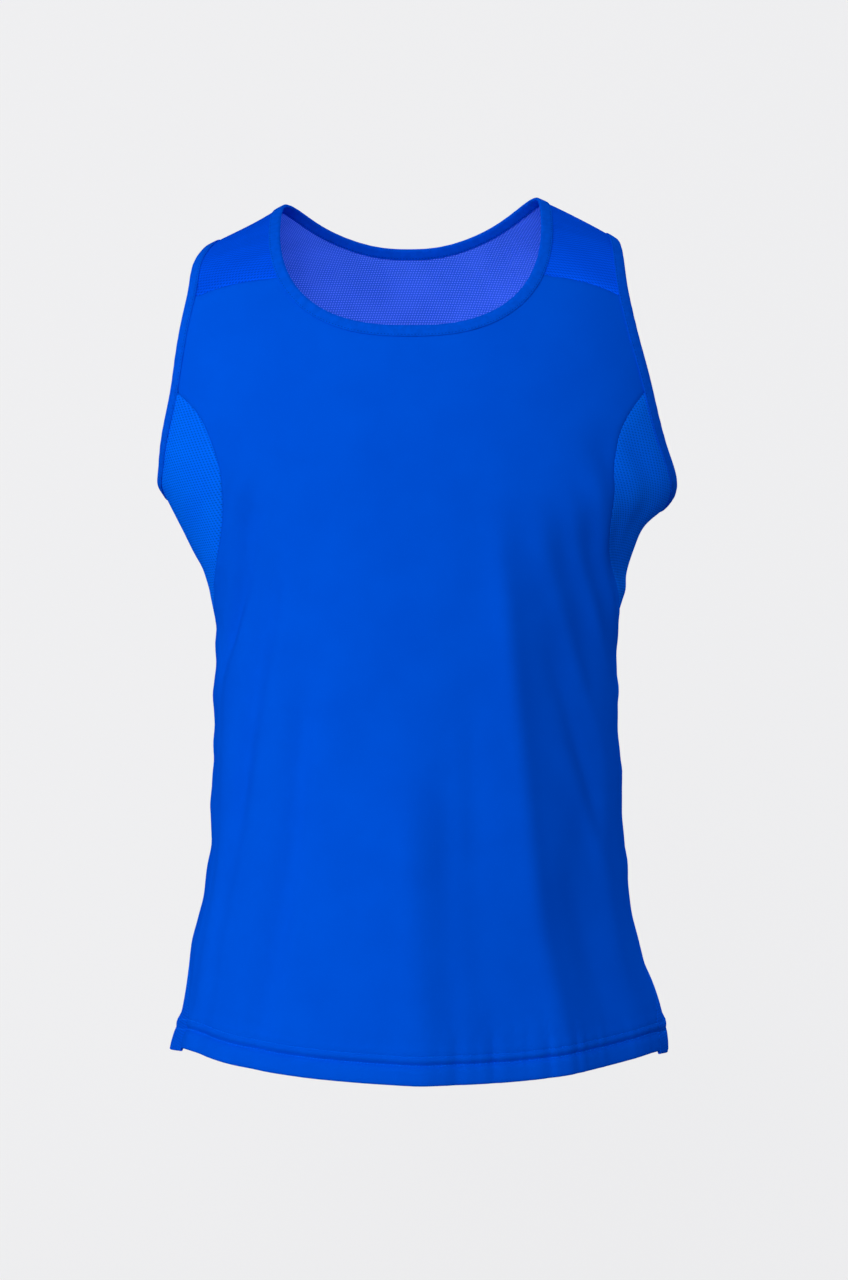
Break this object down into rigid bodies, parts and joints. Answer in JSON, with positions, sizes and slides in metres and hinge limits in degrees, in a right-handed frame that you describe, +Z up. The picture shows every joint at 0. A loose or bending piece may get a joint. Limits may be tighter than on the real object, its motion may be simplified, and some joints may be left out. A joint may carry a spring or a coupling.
{
  "type": "sleeveless sports singlet",
  "caption": "Sleeveless athletic singlet with a scooped neck, smooth front, mesh back and side inserts, taped neck and armholes, and a turned-up open hem, in its worn hollow form.",
  "frame": {"origin": "between the two shoulder straps, level with where they rest on the wearer's shoulders", "axes": "+Z up along the wearer, the front faces -Y, the wearer's left is +X"},
  "size_m": [0.4302, 0.2655, 0.7241],
  "materials": {
    "front_knit": "smooth satin-faced polyester knit",
    "mesh_knit": "fine mesh knit with small round holes",
    "binding_tape": "folded knit tape"
  },
  "bodies": {
    "root": {"front_panel": "front_knit", "back_panel": "mesh_knit", "side_panel_right": "mesh_knit", "side_panel_left": "mesh_knit", "neck_binding": "binding_tape", "armhole_binding_right": "binding_tape", "armhole_binding_left": "binding_tape"}
  },
  "joints": []
}
